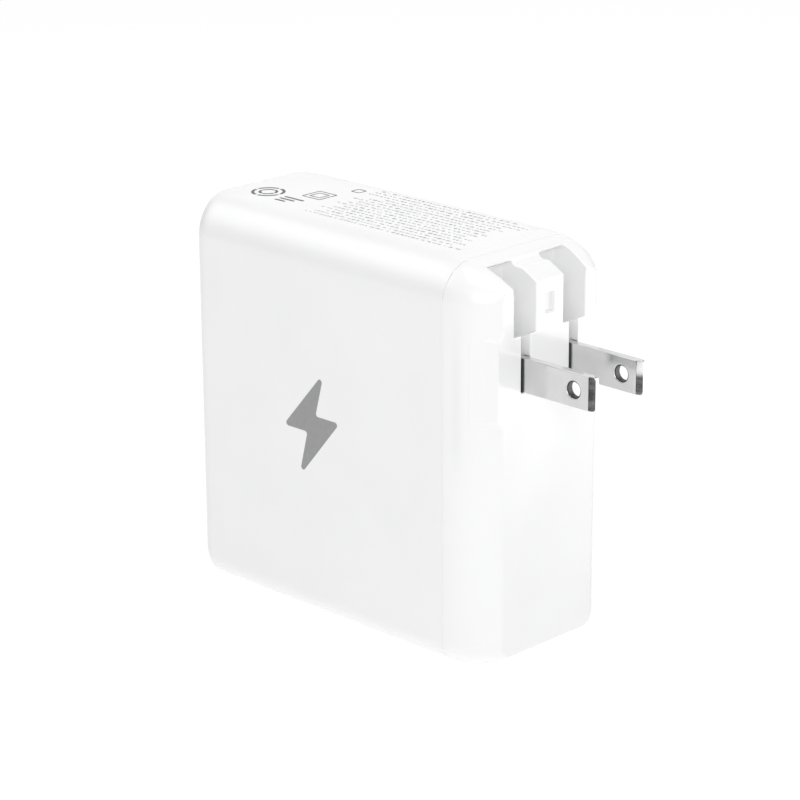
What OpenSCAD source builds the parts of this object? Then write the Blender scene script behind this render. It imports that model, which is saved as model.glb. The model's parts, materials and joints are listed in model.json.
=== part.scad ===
// Folding-prong laptop power adapter. Millimetres, +Z up.
// Origin: centre of the flat base. +X points out of the plug end, the big faces look along +Y and -Y.

/* [Body] */
// Length of the body along X, without the prongs
body_l = 75.6; // [74:0.2:80]
// Thickness of the body along Y
body_w = 36.4; // [35.6:0.2:40]
// Height of the body along Z
body_h = 76; // [74:1:82]
// Wall thickness of the moulded shells
wall = 2.2; // [1.8:0.1:2.4]
// Radius of the long edges at the top
top_r = 8; // [6:0.5:8]
// Radius of the long edges at the base
base_r = 4.5; // [3:0.5:5]
// Radius of the upright edges at the back
back_r = 4.3; // [3:0.1:5]

/* [Plug end] */
// Distance from the plug face back to the parting line of the end cap
cap_l = 9.2; // [8.8:0.1:9.6]
// Half width of the flat plug face
face_half_w = 12.15; // [11.8:0.05:12.6]
// Drop of the top arch at the plug face
arch_drop = 4.65; // [4.2:0.05:5]
// Length of the top arch along X
arch_l = 12.1; // [11:0.1:13]
// Half width of the raised pads beside the prongs
pad_half_w = 13.55; // [13:0.05:14]

/* [Prongs] */
// Distance between the two prongs, centre to centre
prong_gap = 12.7; // [12.6:0.1:12.8]
// Width of a prong
prong_w = 6.35; // [6.1:0.05:6.4]
// Thickness of a prong
prong_t = 1.52; // [1.4:0.02:1.6]
// Length of a prong beyond the plug face
prong_l = 16.7; // [15.9:0.1:17]
// Height of the prong centreline above the base
prong_z = 55; // [54:0.5:56]
// Radius of the hole near the prong's tip
prong_hole_r = 1.6; // [1.5:0.05:1.7]
// Distance from the plug face to that hole
prong_hole_x = 11.9; // [11.7:0.1:12.1]

/* [Hidden] */
$fn = 48;
eps = 0.01;

// Places that the whole model shares
face_x = body_l / 2;
back_x = -body_l / 2;
seam_x = face_x - cap_l;
half_w = body_w / 2;

// Blended edges of the plug end: length, drop at the face, and the angle at which each arc starts
side_drop = half_w - face_half_w;
side_lead = 5.4;
arch_lead = 8.9;
base_sweep_l = 7.1;
base_sweep_drop = 1.9;
back_top_r = 0.6;
back_base_r = 4.9;

// Pads beside the prongs: half height, length of their sloping ends and depth
pad_half_h = 8.3;
pad_ramp = 2;
pad_depth = 4.5;

// Recess for the folded prongs
recess_depth = 6.2;
recess_half_w = 9.4;
shelf_drop = 2.65;
tongue_half_w = 3.65;
tongue_r = 1.45;
well_depth = 2.1;
well_floor = 7.4;
well_curve_start = 10.6;
well_curve_r = 5.4;
slot_w = 2.3;
slot_depth = 8.6;
slot_floor = -prong_w / 2 - 0.15;
block_margin = 1.8;
latch_half_w = 1.15;
latch_low = 10.05;
latch_high = 13.8;
latch_depth = 0.9;

// Prong hinge: pivot behind the face and below the prong centreline
pivot_in = 2.9;
pivot_down = 1.9;
pivot_x = face_x - pivot_in;
pivot_z = prong_z - pivot_down;
carrier_r = 1.9;
carrier_half_w = 8.5;
carrier_back = 2.6;
carrier_up = 2.4;
journal_r = 1.2;
journal_gap = 0.05;
prong_tail = 4.6;
prong_root = 1.2;
tip_bevel = 1.45;
tip_t = 0.7;
tip_r = 1.6;

// Room for the carrier behind the plug face, measured from the prong centreline
bay_wall = 0.8;
bay_half_w = 11.5;
bay_ceiling = 4.3;
bay_floor = -7.1;

// Bracket that carries the hinge, and its screws
bracket_x = face_x - 10.4;
bracket_t = 1.2;
bracket_half_w = 14.2;
bracket_low = -9.6;
bracket_high = 7.2;
arm_in = carrier_half_w + 0.3;
arm_w = 2.3;
arm_half_h = 2.8;
post_y = 12.6;
post_low = -7.7;
post_high = 5.3;
post_r = 1.7;
screw_r = 0.8;
screw_l = 6;
screw_head_r = 1.5;
screw_head_t = 1;
leaf_t = 0.3;

// Lip of the end cap inside the housing
lip_gap = 0.1;
lip_t = 1;
lip_l = 2.4;

// Inside of the housing
board_y = 12;
board_t = 1.6;
board_low = 6;
board_high = 70;
board_front = 24;
board_back = -26.5;
port_z = 38;
port_board_x = -29.4;
wire_y = 6.4;
wire_rise = 6;
wire_r = 0.9;
port_board_t = 1.2;
shell_l = 7.4;
shell_long = 8.94;
shell_short = 3.16;
shell_t = 0.3;

// Transformer: place on the board, side of its core, height over the board, middle leg and bobbin wall
trafo_x = -8;
trafo_z = 37;
trafo_side = 25;
trafo_h = 21;
trafo_yoke = 4;
trafo_lift = 0.5;
trafo_leg_r = 5;
bobbin_t = 1;
bobbin_low = trafo_yoke + trafo_lift + 0.1;
bobbin_high = trafo_h - trafo_yoke - 0.1;

// Mains filter choke: place on the board, mean radius of the ring and side of its square section
choke_x = 14;
choke_z = 18;
choke_r = 6.5;
choke_section = 5;

// Heat spreader behind the big -Y face
spreader_y = -14.6;
spreader_t = 0.6;

function prong_y(side) = side * prong_gap / 2;

// Points of an arc from (-len, 0) to (0, drop) that leaves the straight at an angle of lead
function arc_points(len, drop, lead, steps = 12) =
    let (chord = atan(drop / len),
         sweep = 2 * (chord - lead),
         r = sqrt(len * len + drop * drop) / (2 * sin(sweep / 2)))
    [for (i = [0:steps])
        let (a = lead + sweep * i / steps)
        [-len + r * (sin(a) - sin(lead)), r * (cos(lead) - cos(a))]];

// Points of a quarter round about (x, y), clockwise from the angle start
function round_corner(x, y, r, start, steps = 8) =
    [for (i = [0:steps]) [x + r * cos(start - 90 * i / steps), y + r * sin(start - 90 * i / steps)]];

// Colours
module shell_white() { color("white") children(); }
module copper() { color("peru") children(); }
module board_green() { color("seagreen") children(); }
module plated() { color("silver") children(); }
module dark_body() { color([0.15, 0.15, 0.16]) children(); }

// A box between two corners
module span(low, high) {
    translate(low)
        cube(high - low);
}

// A can that stands on the main board and reaches down to -Y
module can(x, z, r, h) {
    translate([x, board_y, z])
        rotate([90, 0, 0])
            cylinder(r = r, h = h);
}

// A cylinder along Y, centred on y
module bar_y(x, y, z, r, l) {
    translate([x, y, z])
        rotate([90, 0, 0])
            cylinder(r = r, h = l, center = true);
}

// Turns a profile drawn as [x, z] into a plate of width w centred on y
module plate_y(y, w) {
    translate([0, y + w / 2, 0])
        rotate([90, 0, 0])
            linear_extrude(w)
                children();
}

// Outline of the body seen along X, with the given inset
module section(inset) {
    w = half_w - inset;
    top = body_h - inset;
    rt = top_r - inset;
    rb = base_r - inset;
    translate([-w, inset + rb])
        square([2 * w, top - inset - rt - rb]);
    translate([-w + rt, inset + rb])
        square([2 * (w - rt), top - inset - rb]);
    translate([-w + rb, inset])
        square([2 * (w - rb), body_h / 2]);
    for (side = [-1, 1]) {
        translate([side * (w - rt), top - rt])
            circle(r = rt);
        translate([side * (w - rb), inset + rb])
            circle(r = rb);
    }
}

// Outline of the body seen along Z, with the given inset
module plan(inset) {
    w = half_w - inset;
    r = back_r - inset;
    side_arc = arc_points(cap_l, side_drop, side_lead);
    right = concat(round_corner(back_x + inset + r, w - r, r, 180),
                   [for (p = side_arc) [face_x - inset + p[0], w - p[1]]]);
    polygon(concat(right, [for (i = [len(right) - 1:-1:0]) [right[i][0], -right[i][1]]]));
}

// Outline of the body seen along Y, with the given inset
module profile(inset) {
    top = body_h - inset;
    front = face_x - inset;
    back = back_x + inset;
    r = back_base_r - inset;
    top_arc = [for (p = arc_points(arch_l, arch_drop, arch_lead)) [front + p[0], top - p[1]]];
    base_arc = [for (p = arc_points(base_sweep_l, base_sweep_drop, 0)) [front + p[0], inset + p[1]]];
    polygon(concat([[back, top - back_top_r], [back + back_top_r, top]], top_arc,
                   [for (i = [len(base_arc) - 1:-1:0]) base_arc[i]],
                   round_corner(back + r, inset + r, r, 270)));
}

// The body's outer form, or its inner form at the given inset
module body_form(inset = 0) {
    intersection() {
        translate([back_x, 0, 0])
            rotate([90, 0, 90])
                linear_extrude(body_l)
                    section(inset);
        linear_extrude(body_h)
            plan(inset);
        plate_y(0, body_w)
            profile(inset);
    }
}

// Everything in front of, or behind, the plane x
module ahead_of(x) {
    span([x, -body_w, -body_h], [x + body_l, body_w, 2 * body_h]);
}

module behind(x) {
    span([x - 2 * body_l, -body_w, -body_h], [x, body_w, 2 * body_h]);
}

// Opening of the output port, a slot with round ends along Z
module port_slot(x0, x1, grow) {
    r = shell_short / 2 + grow;
    span([x0, -r, port_z - shell_long / 2 + shell_short / 2], [x1, r, port_z + shell_long / 2 - shell_short / 2]);
    for (side = [-1, 1])
        translate([x0, 0, port_z + side * (shell_long - shell_short) / 2])
            rotate([0, 90, 0])
                cylinder(r = r, h = x1 - x0);
}

module housing() {
    shell_white()
        difference() {
            intersection() {
                body_form();
                behind(seam_x);
            }
            body_form(wall);
            port_slot(back_x - 1, back_x + wall + 1, 0.15);
        }
}

// Raised pads beside the prongs, seen along X
module pad_outline() {
    low = prong_z - pad_half_h;
    high = prong_z + pad_half_h;
    root = face_half_w - 1.5;
    for (side = [-1, 1])
        polygon([[side * root, low - pad_ramp], [side * face_half_w, low - pad_ramp / 2],
                 [side * pad_half_w, low + pad_ramp / 2], [side * pad_half_w, high - pad_ramp / 2],
                 [side * face_half_w, high + pad_ramp / 2], [side * root, high + pad_ramp]]);
}

// Cut between the cheeks: the shelf above the tongue
module shelf_cut() {
    arc = [for (a = [0:15:90]) [face_x - tongue_r + tongue_r * sin(a),
                                body_h - shelf_drop - tongue_r + tongue_r * cos(a)]];
    plate_y(0, 2 * tongue_half_w + eps)
        polygon(concat([[face_x - recess_depth, body_h + 1], [face_x - recess_depth, body_h - shelf_drop]], arc,
                       [[face_x + 1, body_h - shelf_drop - tongue_r], [face_x + 1, body_h + 1]]));
}

// Finger well on one side of the tongue, whose floor curves back under the arch
module well_cut(side) {
    x0 = face_x - well_depth;
    z0 = prong_z + well_curve_start;
    arc = [for (a = [0:10:50]) [x0 - well_curve_r * (1 - cos(a)), z0 + well_curve_r * sin(a)]];
    back = face_x - recess_depth;
    plate_y(side * (tongue_half_w + recess_half_w) / 2, recess_half_w - tongue_half_w)
        polygon(concat([[face_x + 1, prong_z + well_floor], [x0, prong_z + well_floor]], arc,
                       [[back, body_h - shelf_drop - 2.2], [back, body_h + 1], [face_x + 1, body_h + 1]]));
}

// Slot for one prong, from its lower edge up to the top
module slot_cut(side) {
    y0 = prong_y(side) - slot_w / 2;
    span([face_x - slot_depth, y0, prong_z + slot_floor], [face_x + 1, y0 + slot_w, prong_z + prong_l + 1.6]);
}

// Room in which the prong carrier turns
module carrier_bay() {
    span([seam_x - 1, -bay_half_w, prong_z + bay_floor], [face_x - bay_wall, bay_half_w, prong_z + bay_ceiling]);
}

// Solid stock behind the recess, which the slots and wells are cut from
module recess_block() {
    span([seam_x, -recess_half_w - block_margin, prong_z + bay_ceiling],
         [face_x, recess_half_w + block_margin, body_h]);
}

// Puts its children at the four bracket screws, turned so that Z runs forward
module screw_places() {
    for (side = [-1, 1], z = [post_low, post_high])
        translate([bracket_x, side * post_y, prong_z + z])
            rotate([0, 90, 0])
                children();
}

// Hollow of the end cap, narrower where the lip stands
module cap_inside() {
    intersection() {
        body_form(wall);
        ahead_of(seam_x + lip_t);
    }
    body_form(wall + lip_gap + lip_t);
}

// Outer form of the end cap with its pads and the lip that steps into the housing
module cap_outside() {
    intersection() {
        union() {
            body_form();
            translate([face_x - pad_depth, 0, 0])
                rotate([90, 0, 90])
                    linear_extrude(pad_depth)
                        pad_outline();
        }
        ahead_of(seam_x);
    }
    intersection() {
        body_form(wall + lip_gap);
        span([seam_x - lip_l, -half_w, 0], [seam_x + lip_t, half_w, body_h]);
    }
}

module end_cap() {
    shell_white()
        difference() {
            union() {
                difference() {
                    cap_outside();
                    cap_inside();
                }
                intersection() {
                    body_form();
                    union() {
                        recess_block();
                        screw_places()
                            cylinder(r = post_r, h = face_x - bracket_x);
                    }
                }
            }
            carrier_bay();
            shelf_cut();
            for (side = [-1, 1]) {
                well_cut(side);
                slot_cut(side);
            }
            span([face_x - latch_depth, -latch_half_w, prong_z + latch_low],
                 [face_x + 1, latch_half_w, prong_z + latch_high]);
            screw_places()
                translate([0, 0, -1])
                    cylinder(r = screw_r, h = screw_l + 1);
        }
}

module hinge_bracket() {
    dark_body()
        difference() {
            union() {
                span([bracket_x - bracket_t, -bracket_half_w, prong_z + bracket_low],
                     [bracket_x, bracket_half_w, prong_z + bracket_high]);
                for (side = [-1, 1])
                    plate_y(side * (arm_in + arm_w / 2), arm_w)
                        translate([bracket_x - eps, pivot_z - arm_half_h])
                            square([pivot_x + 2 - bracket_x, 2 * arm_half_h]);
            }
            bar_y(pivot_x, 0, pivot_z, journal_r + journal_gap, 3 * carrier_half_w);
            screw_places()
                translate([0, 0, -bracket_t - 1])
                    cylinder(r = screw_r + 0.1, h = bracket_t + 2);
            for (side = [-1, 1])
                wire_place(side)
                    cylinder(r = wire_r, h = 4 * bracket_t, center = true);
        }
}

module bracket_screws() {
    plated()
        screw_places() {
            translate([0, 0, -bracket_t - screw_head_t])
                cylinder(r = screw_head_r, h = screw_head_t);
            translate([0, 0, -bracket_t])
                cylinder(r = screw_r, h = bracket_t + screw_l);
        }
}

// Bowed leaf between the bracket and the back of the carrier
module detent_spring() {
    leaf_w = 5;
    foot = 1.5;
    rise = 2.9;
    low = pivot_z - 4.2;
    bow = [for (i = [0:8]) [bracket_x + leaf_t + rise * sin(180 * i / 8), low + foot + i * 0.7]];
    high = bow[8][1];
    plated()
        plate_y(0, leaf_w)
            polygon(concat([[bracket_x, low], [bracket_x + leaf_t, low]], bow,
                           [[bracket_x + leaf_t, high + foot], [bracket_x, high + foot]],
                           [for (i = [8:-1:0]) [bow[i][0] - leaf_t, bow[i][1]]]));
}

module prong_carrier() {
    dark_body()
        difference() {
            union() {
                bar_y(pivot_x, 0, pivot_z, carrier_r, 2 * carrier_half_w);
                span([pivot_x - carrier_back, -carrier_half_w, pivot_z],
                     [pivot_x + carrier_r, carrier_half_w, pivot_z + carrier_up]);
                bar_y(pivot_x, 0, pivot_z, journal_r, 2 * (arm_in + arm_w));
            }
            for (side = [-1, 1])
                prong_plate(side);
        }
}

// Outline of a prong seen along Y: blade with a rounded tip, and the tail that meets its contact
module prong_outline() {
    low = prong_z - prong_w / 2;
    tip = face_x + prong_l;
    translate([pivot_x - prong_root, low])
        square([tip - tip_r - pivot_x + prong_root, prong_w]);
    translate([pivot_x, low + tip_r])
        square([tip - pivot_x, prong_w - 2 * tip_r]);
    for (z = [low + tip_r, low + prong_w - tip_r])
        translate([tip - tip_r, z])
            circle(r = tip_r);
    translate([pivot_x - prong_tail, pivot_z + 0.5])
        square([prong_tail, prong_w / 2 + pivot_down - 0.5]);
}

module prong_plate(side) {
    plate_y(prong_y(side), prong_t)
        prong_outline();
}

// One prong: a plate with a bevelled tip and a hole across it
module prong(side) {
    y = prong_y(side);
    tip = face_x + prong_l;
    plated()
        difference() {
            intersection() {
                prong_plate(side);
                translate([0, y, 0])
                    linear_extrude(body_h)
                        polygon([[0, -prong_t / 2], [tip - tip_bevel, -prong_t / 2], [tip, -tip_t / 2],
                                 [tip, tip_t / 2], [tip - tip_bevel, prong_t / 2], [0, prong_t / 2]]);
            }
            bar_y(face_x + prong_hole_x, y, prong_z, prong_hole_r, 2 * prong_t);
        }
}

module prong_line() {
    prong(-1);
}

module prong_neutral() {
    prong(1);
}

// Where a mains wire passes the bracket, turned so that Z runs forward
module wire_place(side) {
    translate([bracket_x - bracket_t / 2, side * wire_y, prong_z + wire_rise])
        rotate([0, 90, 0])
            children();
}

// Leaf that wipes the outer side of a prong's tail, with a foot on the bracket
module contact(side) {
    y = side * (prong_gap / 2 + prong_t / 2 + 0.3 + leaf_t / 2);
    low = pivot_z + 1.4;
    copper() {
        plate_y(y, leaf_t)
            translate([bracket_x, low])
                square([pivot_x - prong_tail + 1.6 - bracket_x, 2.6]);
        plate_y(side * (wire_y + 0.3), 3)
            translate([bracket_x, low])
                square([leaf_t, 3]);
    }
}

module contact_line() {
    contact(-1);
}

module contact_neutral() {
    contact(1);
}

// Insulated lead from the bracket back to the main board
module mains_wire(side) {
    bend_x = board_front - 1 - (1 - side) * 2;
    y = side * wire_y;
    z = prong_z + wire_rise;
    color(side < 0 ? "saddlebrown" : "steelblue") {
        translate([bend_x, y, z])
            rotate([0, 90, 0])
                cylinder(r = wire_r, h = bracket_x - bend_x);
        translate([bend_x, y, z])
            sphere(r = wire_r);
        translate([bend_x, board_y, z])
            rotate([90, 0, 0])
                cylinder(r = wire_r, h = board_y - y);
    }
}

module wire_line() {
    mains_wire(-1);
}

module wire_neutral() {
    mains_wire(1);
}

module main_board() {
    board_green()
        span([board_back, board_y, board_low], [board_front, board_y + board_t, board_high]);
}

module port_board() {
    board_green()
        span([port_board_x, -10, port_z - 11], [port_board_x + port_board_t, board_y, port_z + 11]);
}

module usb_c_shell() {
    plated()
        difference() {
            port_slot(port_board_x - shell_l, port_board_x, 0);
            port_slot(port_board_x - shell_l - 1, port_board_x - 1, -shell_t);
        }
}

module usb_c_tongue() {
    dark_body()
        span([port_board_x - shell_l + 0.9, -0.35, port_z - 3.2], [port_board_x - 1, 0.35, port_z + 3.2]);
}

module at_trafo() {
    translate([trafo_x, board_y, trafo_z])
        rotate([90, 0, 0])
            children();
}

// Ferrite core: two yokes, two legs outside the winding and a round middle leg
module transformer_core() {
    depth = 14;
    leg_t = 3;
    leg_l = trafo_h - 2 * trafo_yoke - trafo_lift;
    dark_body()
        at_trafo() {
            for (z = [trafo_lift, trafo_h - trafo_yoke])
                translate([-trafo_side / 2, -depth / 2, z])
                    cube([trafo_side, depth, trafo_yoke]);
            for (x = [-trafo_side / 2, trafo_side / 2 - leg_t])
                translate([x, -depth / 2, trafo_yoke + trafo_lift])
                    cube([leg_t, depth, leg_l]);
            translate([0, 0, trafo_yoke + trafo_lift])
                cylinder(r = trafo_leg_r, h = leg_l);
        }
}

module transformer_bobbin() {
    bobbin_l = bobbin_high - bobbin_low;
    dark_body()
        at_trafo()
            difference() {
                union() {
                    translate([0, 0, bobbin_low])
                        cylinder(r = trafo_leg_r + bobbin_t, h = bobbin_l);
                    for (z = [bobbin_low, bobbin_high - bobbin_t])
                        translate([0, 0, z])
                            cylinder(r = trafo_side / 2 - 3.2, h = bobbin_t);
                }
                translate([0, 0, bobbin_low - 1])
                    cylinder(r = trafo_leg_r + 0.1, h = bobbin_l + 2);
            }
}

module transformer_winding() {
    low = bobbin_low + bobbin_t;
    high = bobbin_high - bobbin_t;
    color("gold")
        at_trafo()
            difference() {
                translate([0, 0, low])
                    cylinder(r = trafo_side / 2 - 3.7, h = high - low);
                translate([0, 0, low - 1])
                    cylinder(r = trafo_leg_r + bobbin_t, h = high - low + 2);
            }
}

module bulk_capacitors() {
    color("black")
        for (i = [0:2])
            can(-17 + 12 * i, 61, 5.6, 24);
}

module output_capacitors() {
    color("slateblue")
        for (z = [13, 22.5])
            can(-22, z, 4, 13);
}

module film_capacitor() {
    color("goldenrod")
        span([8, board_y - 14, 38], [22, board_y, 45]);
}

module disc_capacitor() {
    color("royalblue")
        translate([-6.5, board_y - 6, 17])
            rotate([0, 90, 0])
                cylinder(r = 4.5, h = 3);
}

module varistor() {
    color("firebrick")
        translate([9.5, board_y - 6, 30.5])
            cylinder(r = 5, h = 3.6);
}

module at_choke() {
    translate([choke_x, board_y - choke_section, choke_z])
        rotate([90, 0, 0])
            children();
}

module choke_ring(grow, turn) {
    rotate([0, 0, -turn / 2])
        rotate_extrude(angle = turn)
            translate([choke_r - choke_section / 2 - grow, -choke_section / 2 - grow])
                square(choke_section + 2 * grow);
}

module choke_core() {
    color("darkgreen")
        at_choke()
            choke_ring(0, 360);
}

module choke_windings() {
    copper()
        at_choke()
            for (start = [0, 180])
                rotate([0, 0, start])
                    difference() {
                        choke_ring(1, 130);
                        choke_ring(0, 140);
                    }
}

module fuse() {
    color("tan")
        translate([18, board_y - 3, 52])
            cylinder(r = 2.4, h = 8, center = true);
}

module bridge_rectifier() {
    dark_body()
        span([-1.5, board_y - 11, 8], [2, board_y, 20]);
}

module power_transistors() {
    dark_body()
        for (z = [9, 16])
            span([-14, board_y - 1.1, z], [-9, board_y, z + 5]);
}

module control_chips() {
    dark_body()
        for (z = [30, 39])
            span([8, board_y + board_t, z], [13, board_y + board_t + 1, z + 4]);
}

module output_inductor() {
    color("dimgray")
        span([-25.5, board_y - 6, 29], [-21.5, board_y, 35]);
}

module heat_spreader() {
    color("lightgray")
        span([board_back - 4, spreader_y - spreader_t, board_low + 1],
             [board_front - 1, spreader_y, board_high - 2]);
}

module thermal_pad() {
    color("slategray")
        span([trafo_x - trafo_side / 2 + 1, spreader_y, trafo_z - 7],
             [trafo_x + trafo_side / 2 - 1, board_y - trafo_h, trafo_z + 7]);
}

module insulating_sheet() {
    color("lemonchiffon")
        span([board_back - 2, half_w - wall - 0.6, board_low + 1],
             [board_front, half_w - wall - 0.3, board_high - 2]);
}

housing();
end_cap();
hinge_bracket();
bracket_screws();
detent_spring();
prong_carrier();
prong_line();
prong_neutral();
contact_line();
contact_neutral();
wire_line();
wire_neutral();
main_board();
port_board();
usb_c_shell();
usb_c_tongue();
transformer_core();
transformer_bobbin();
transformer_winding();
bulk_capacitors();
film_capacitor();
disc_capacitor();
choke_core();
choke_windings();
fuse();
varistor();
bridge_rectifier();
power_transistors();
control_chips();
output_capacitors();
output_inductor();
heat_spreader();
thermal_pad();
insulating_sheet();
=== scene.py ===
"""Looks of a folding-prong laptop power adapter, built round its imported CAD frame.

Shapes are worked out in millimetres in the CAD frame (+X out of the plug end, +Z up) and turned into
metres when a mesh is made. The housing is lofted through rings of points. The end cap, prongs, collars
and carrier are distance fields, negative inside the material, whose zero surface is turned into a mesh.
"""
import json
import math
import random

import bpy
import numpy as np
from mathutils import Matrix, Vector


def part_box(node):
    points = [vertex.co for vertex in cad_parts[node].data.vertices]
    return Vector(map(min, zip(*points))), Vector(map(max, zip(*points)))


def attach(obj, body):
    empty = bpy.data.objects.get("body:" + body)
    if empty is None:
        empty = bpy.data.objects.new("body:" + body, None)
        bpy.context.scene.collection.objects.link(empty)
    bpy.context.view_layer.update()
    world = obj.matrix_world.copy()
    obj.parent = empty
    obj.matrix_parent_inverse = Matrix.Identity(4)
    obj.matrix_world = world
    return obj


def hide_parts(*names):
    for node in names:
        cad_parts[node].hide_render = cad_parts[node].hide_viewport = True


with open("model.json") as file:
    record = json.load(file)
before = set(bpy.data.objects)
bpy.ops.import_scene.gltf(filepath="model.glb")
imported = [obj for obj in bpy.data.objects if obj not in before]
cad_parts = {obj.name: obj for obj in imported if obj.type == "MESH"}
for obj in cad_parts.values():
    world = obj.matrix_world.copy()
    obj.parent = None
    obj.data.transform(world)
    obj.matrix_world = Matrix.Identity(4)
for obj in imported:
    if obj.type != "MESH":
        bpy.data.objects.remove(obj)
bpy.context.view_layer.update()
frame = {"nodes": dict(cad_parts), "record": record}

import openvdb
from mathutils import Matrix, Vector

MM = 0.001
SKIN = 0.02  # the moulded skin lies this far inside the CAD box, so that prints on it stay within


def box_mm(node):
    """Lowest and highest corner of a CAD node, in millimetres."""
    low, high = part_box(node)
    return low / MM, high / MM


# ---------------------------------------------------------------- sizes, in millimetres
HOUSING_LOW, HOUSING_HIGH = box_mm("housing")
BLADE_LOW, BLADE_HIGH = box_mm("prong_line")
CARRIER_LOW, CARRIER_HIGH = box_mm("prong_carrier")
BACK_X = HOUSING_LOW.x
SEAM_X = HOUSING_HIGH.x
FACE_X = box_mm("end_cap")[1].x
HALF_W = HOUSING_HIGH.y
BODY_H = HOUSING_HIGH.z
WALL = 2.2
LIP_REACH = 2.4  # the end cap's lip goes this far into the housing

# Plug end: each arc's length behind the face, drop at the face and angle at its start
SIDE_ARC = (FACE_X - SEAM_X, 6.05, math.radians(5.4))
TOP_ARC = (12.1, 4.65, math.radians(8.9))
BASE_ARC = (7.1, 1.9, 0.0)
TOP_R, TOP_R_AT_FACE, TOP_R_POWER = 8.0, 1.6, 0.533
BASE_R, BASE_R_AT_FACE = 4.5, 2.45

# Back end: radii of its rounded edges
BACK_SIDE_R, BACK_TOP_R, BACK_BASE_R = 4.3, 0.6, 4.9

# Prongs
PRONG_T = BLADE_HIGH.y - BLADE_LOW.y
PRONG_Y = -(BLADE_HIGH.y + BLADE_LOW.y) / 2
PRONG_W = 6.35
PRONG_Z = BLADE_HIGH.z - PRONG_W / 2
PRONG_TIP = BLADE_HIGH.x
HOLE_X = FACE_X + 11.9
HOLE_R = 1.6
BAY_CEILING = 2.8  # top of the space for the carrier, above the prongs' middle
PIVOT_X = FACE_X - 2.9
PIVOT_Z = PRONG_Z - 1.9
SLOT_DEPTH = 8.1  # of the prongs' slots and of the finger wells above them

# Port at the back
PORT_LOW, PORT_HIGH = box_mm("usb_c_shell")
PORT_GAP = 0.15

# Grid step of each distance field, and about how many faces its mesh is thinned to
CAP_MESH = (0.2, 150000)
BLADE_MESH = (0.1, 14000)
SHADE_AND_REFLECTION_MESH = (0.06, 9000)
CARRIER_MESH = (0.12, 12000)


# ---------------------------------------------------------------- distance fields
def round_max(a, b, radius):
    """The larger of two distances, with the edge between them rounded."""
    over = np.hypot(np.maximum(a + radius, 0), np.maximum(b + radius, 0))
    return np.minimum(np.maximum(a, b), -radius) + over


def round_min(a, b, radius):
    """The smaller of two distances, with a fillet where they meet."""
    return -round_max(-a, -b, radius)


def between(value, low, high):
    """Distance to the layer from low to high."""
    return np.maximum(low - value, value - high)


def ease(value, low, high):
    """0 below low and 1 above high, with a smooth step between them."""
    t = np.clip((value - low) / (high - low), 0, 1)
    return t * t * (3 - 2 * t)


def arc_inset(behind, length, drop, lead):
    """How far an end arc has drawn in, at a distance behind the plug face."""
    chord = math.atan2(drop, length)
    radius = math.hypot(length, drop) / (2 * math.sin(chord - lead))
    along = length - behind + radius * math.sin(lead)
    inset = radius * math.cos(lead) - np.sqrt(np.maximum(radius**2 - along**2, 0))
    return np.where(behind < length, inset, 0)


def edge_inset(depth, radius):
    """How far a rounded edge has drawn in, at a depth from its end."""
    short = np.clip(radius - depth, 0, radius)
    return radius - np.sqrt(radius**2 - short**2)


def body_section(x):
    """Half width, base, top and the radii of the base and top corners, at x along the body."""
    behind = FACE_X - x
    depth = x - BACK_X
    at_side = edge_inset(depth, BACK_SIDE_R)
    at_top = edge_inset(depth, BACK_TOP_R)
    at_base = edge_inset(depth, BACK_BASE_R)
    half = HALF_W - SKIN - arc_inset(behind, *SIDE_ARC) - at_side
    top = BODY_H - SKIN - arc_inset(behind, *TOP_ARC) - at_top
    base = SKIN + arc_inset(behind, *BASE_ARC) + at_base
    share = np.clip(behind / TOP_ARC[0], 0, 1) ** TOP_R_POWER
    base_share = np.clip(behind / BASE_ARC[0], 0, 1)
    top_r = TOP_R_AT_FACE + (TOP_R - TOP_R_AT_FACE) * share - 0.5 * np.maximum(at_side, at_top)
    base_r = BASE_R_AT_FACE + (BASE_R - BASE_R_AT_FACE) * base_share
    return half, base, top, base_r, top_r


def section_distance(y, z, half, base, top, base_r, top_r):
    """Distance to a rectangle with round corners, seen along X."""
    middle = (base + top) / 2
    radius = np.where(z > middle, top_r, base_r)
    across = np.abs(y) - half + radius
    upward = np.abs(z - middle) - (top - base) / 2 + radius
    outside = np.hypot(np.maximum(across, 0), np.maximum(upward, 0))
    return np.minimum(np.maximum(across, upward), 0) + outside - radius


def form_distance(x, y, z):
    """Distance to the body's outer form, with no end faces."""
    step = 0.05
    here = section_distance(y, z, *body_section(x))
    ahead = section_distance(y, z, *body_section(x + step))
    return here / np.sqrt(1 + ((ahead - here) / step) ** 2)


def pads_distance(x, y, height):
    """Raised pads beside the prongs, which widen the plug face."""
    half_height, ramp, length, proud, slope = 8.3, 1.0, 4.2, 1.4, 0.7
    face_half = HALF_W - SIDE_ARC[1]
    rise = proud * (1 - ease(np.abs(height), half_height - ramp, half_height + ramp))
    side = (np.abs(y) - face_half - rise - slope * (FACE_X - x)) / math.hypot(1, slope)
    ends = np.maximum(np.abs(height) - half_height - 2 * ramp, FACE_X - length - x)
    return np.maximum(side, ends)


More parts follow.
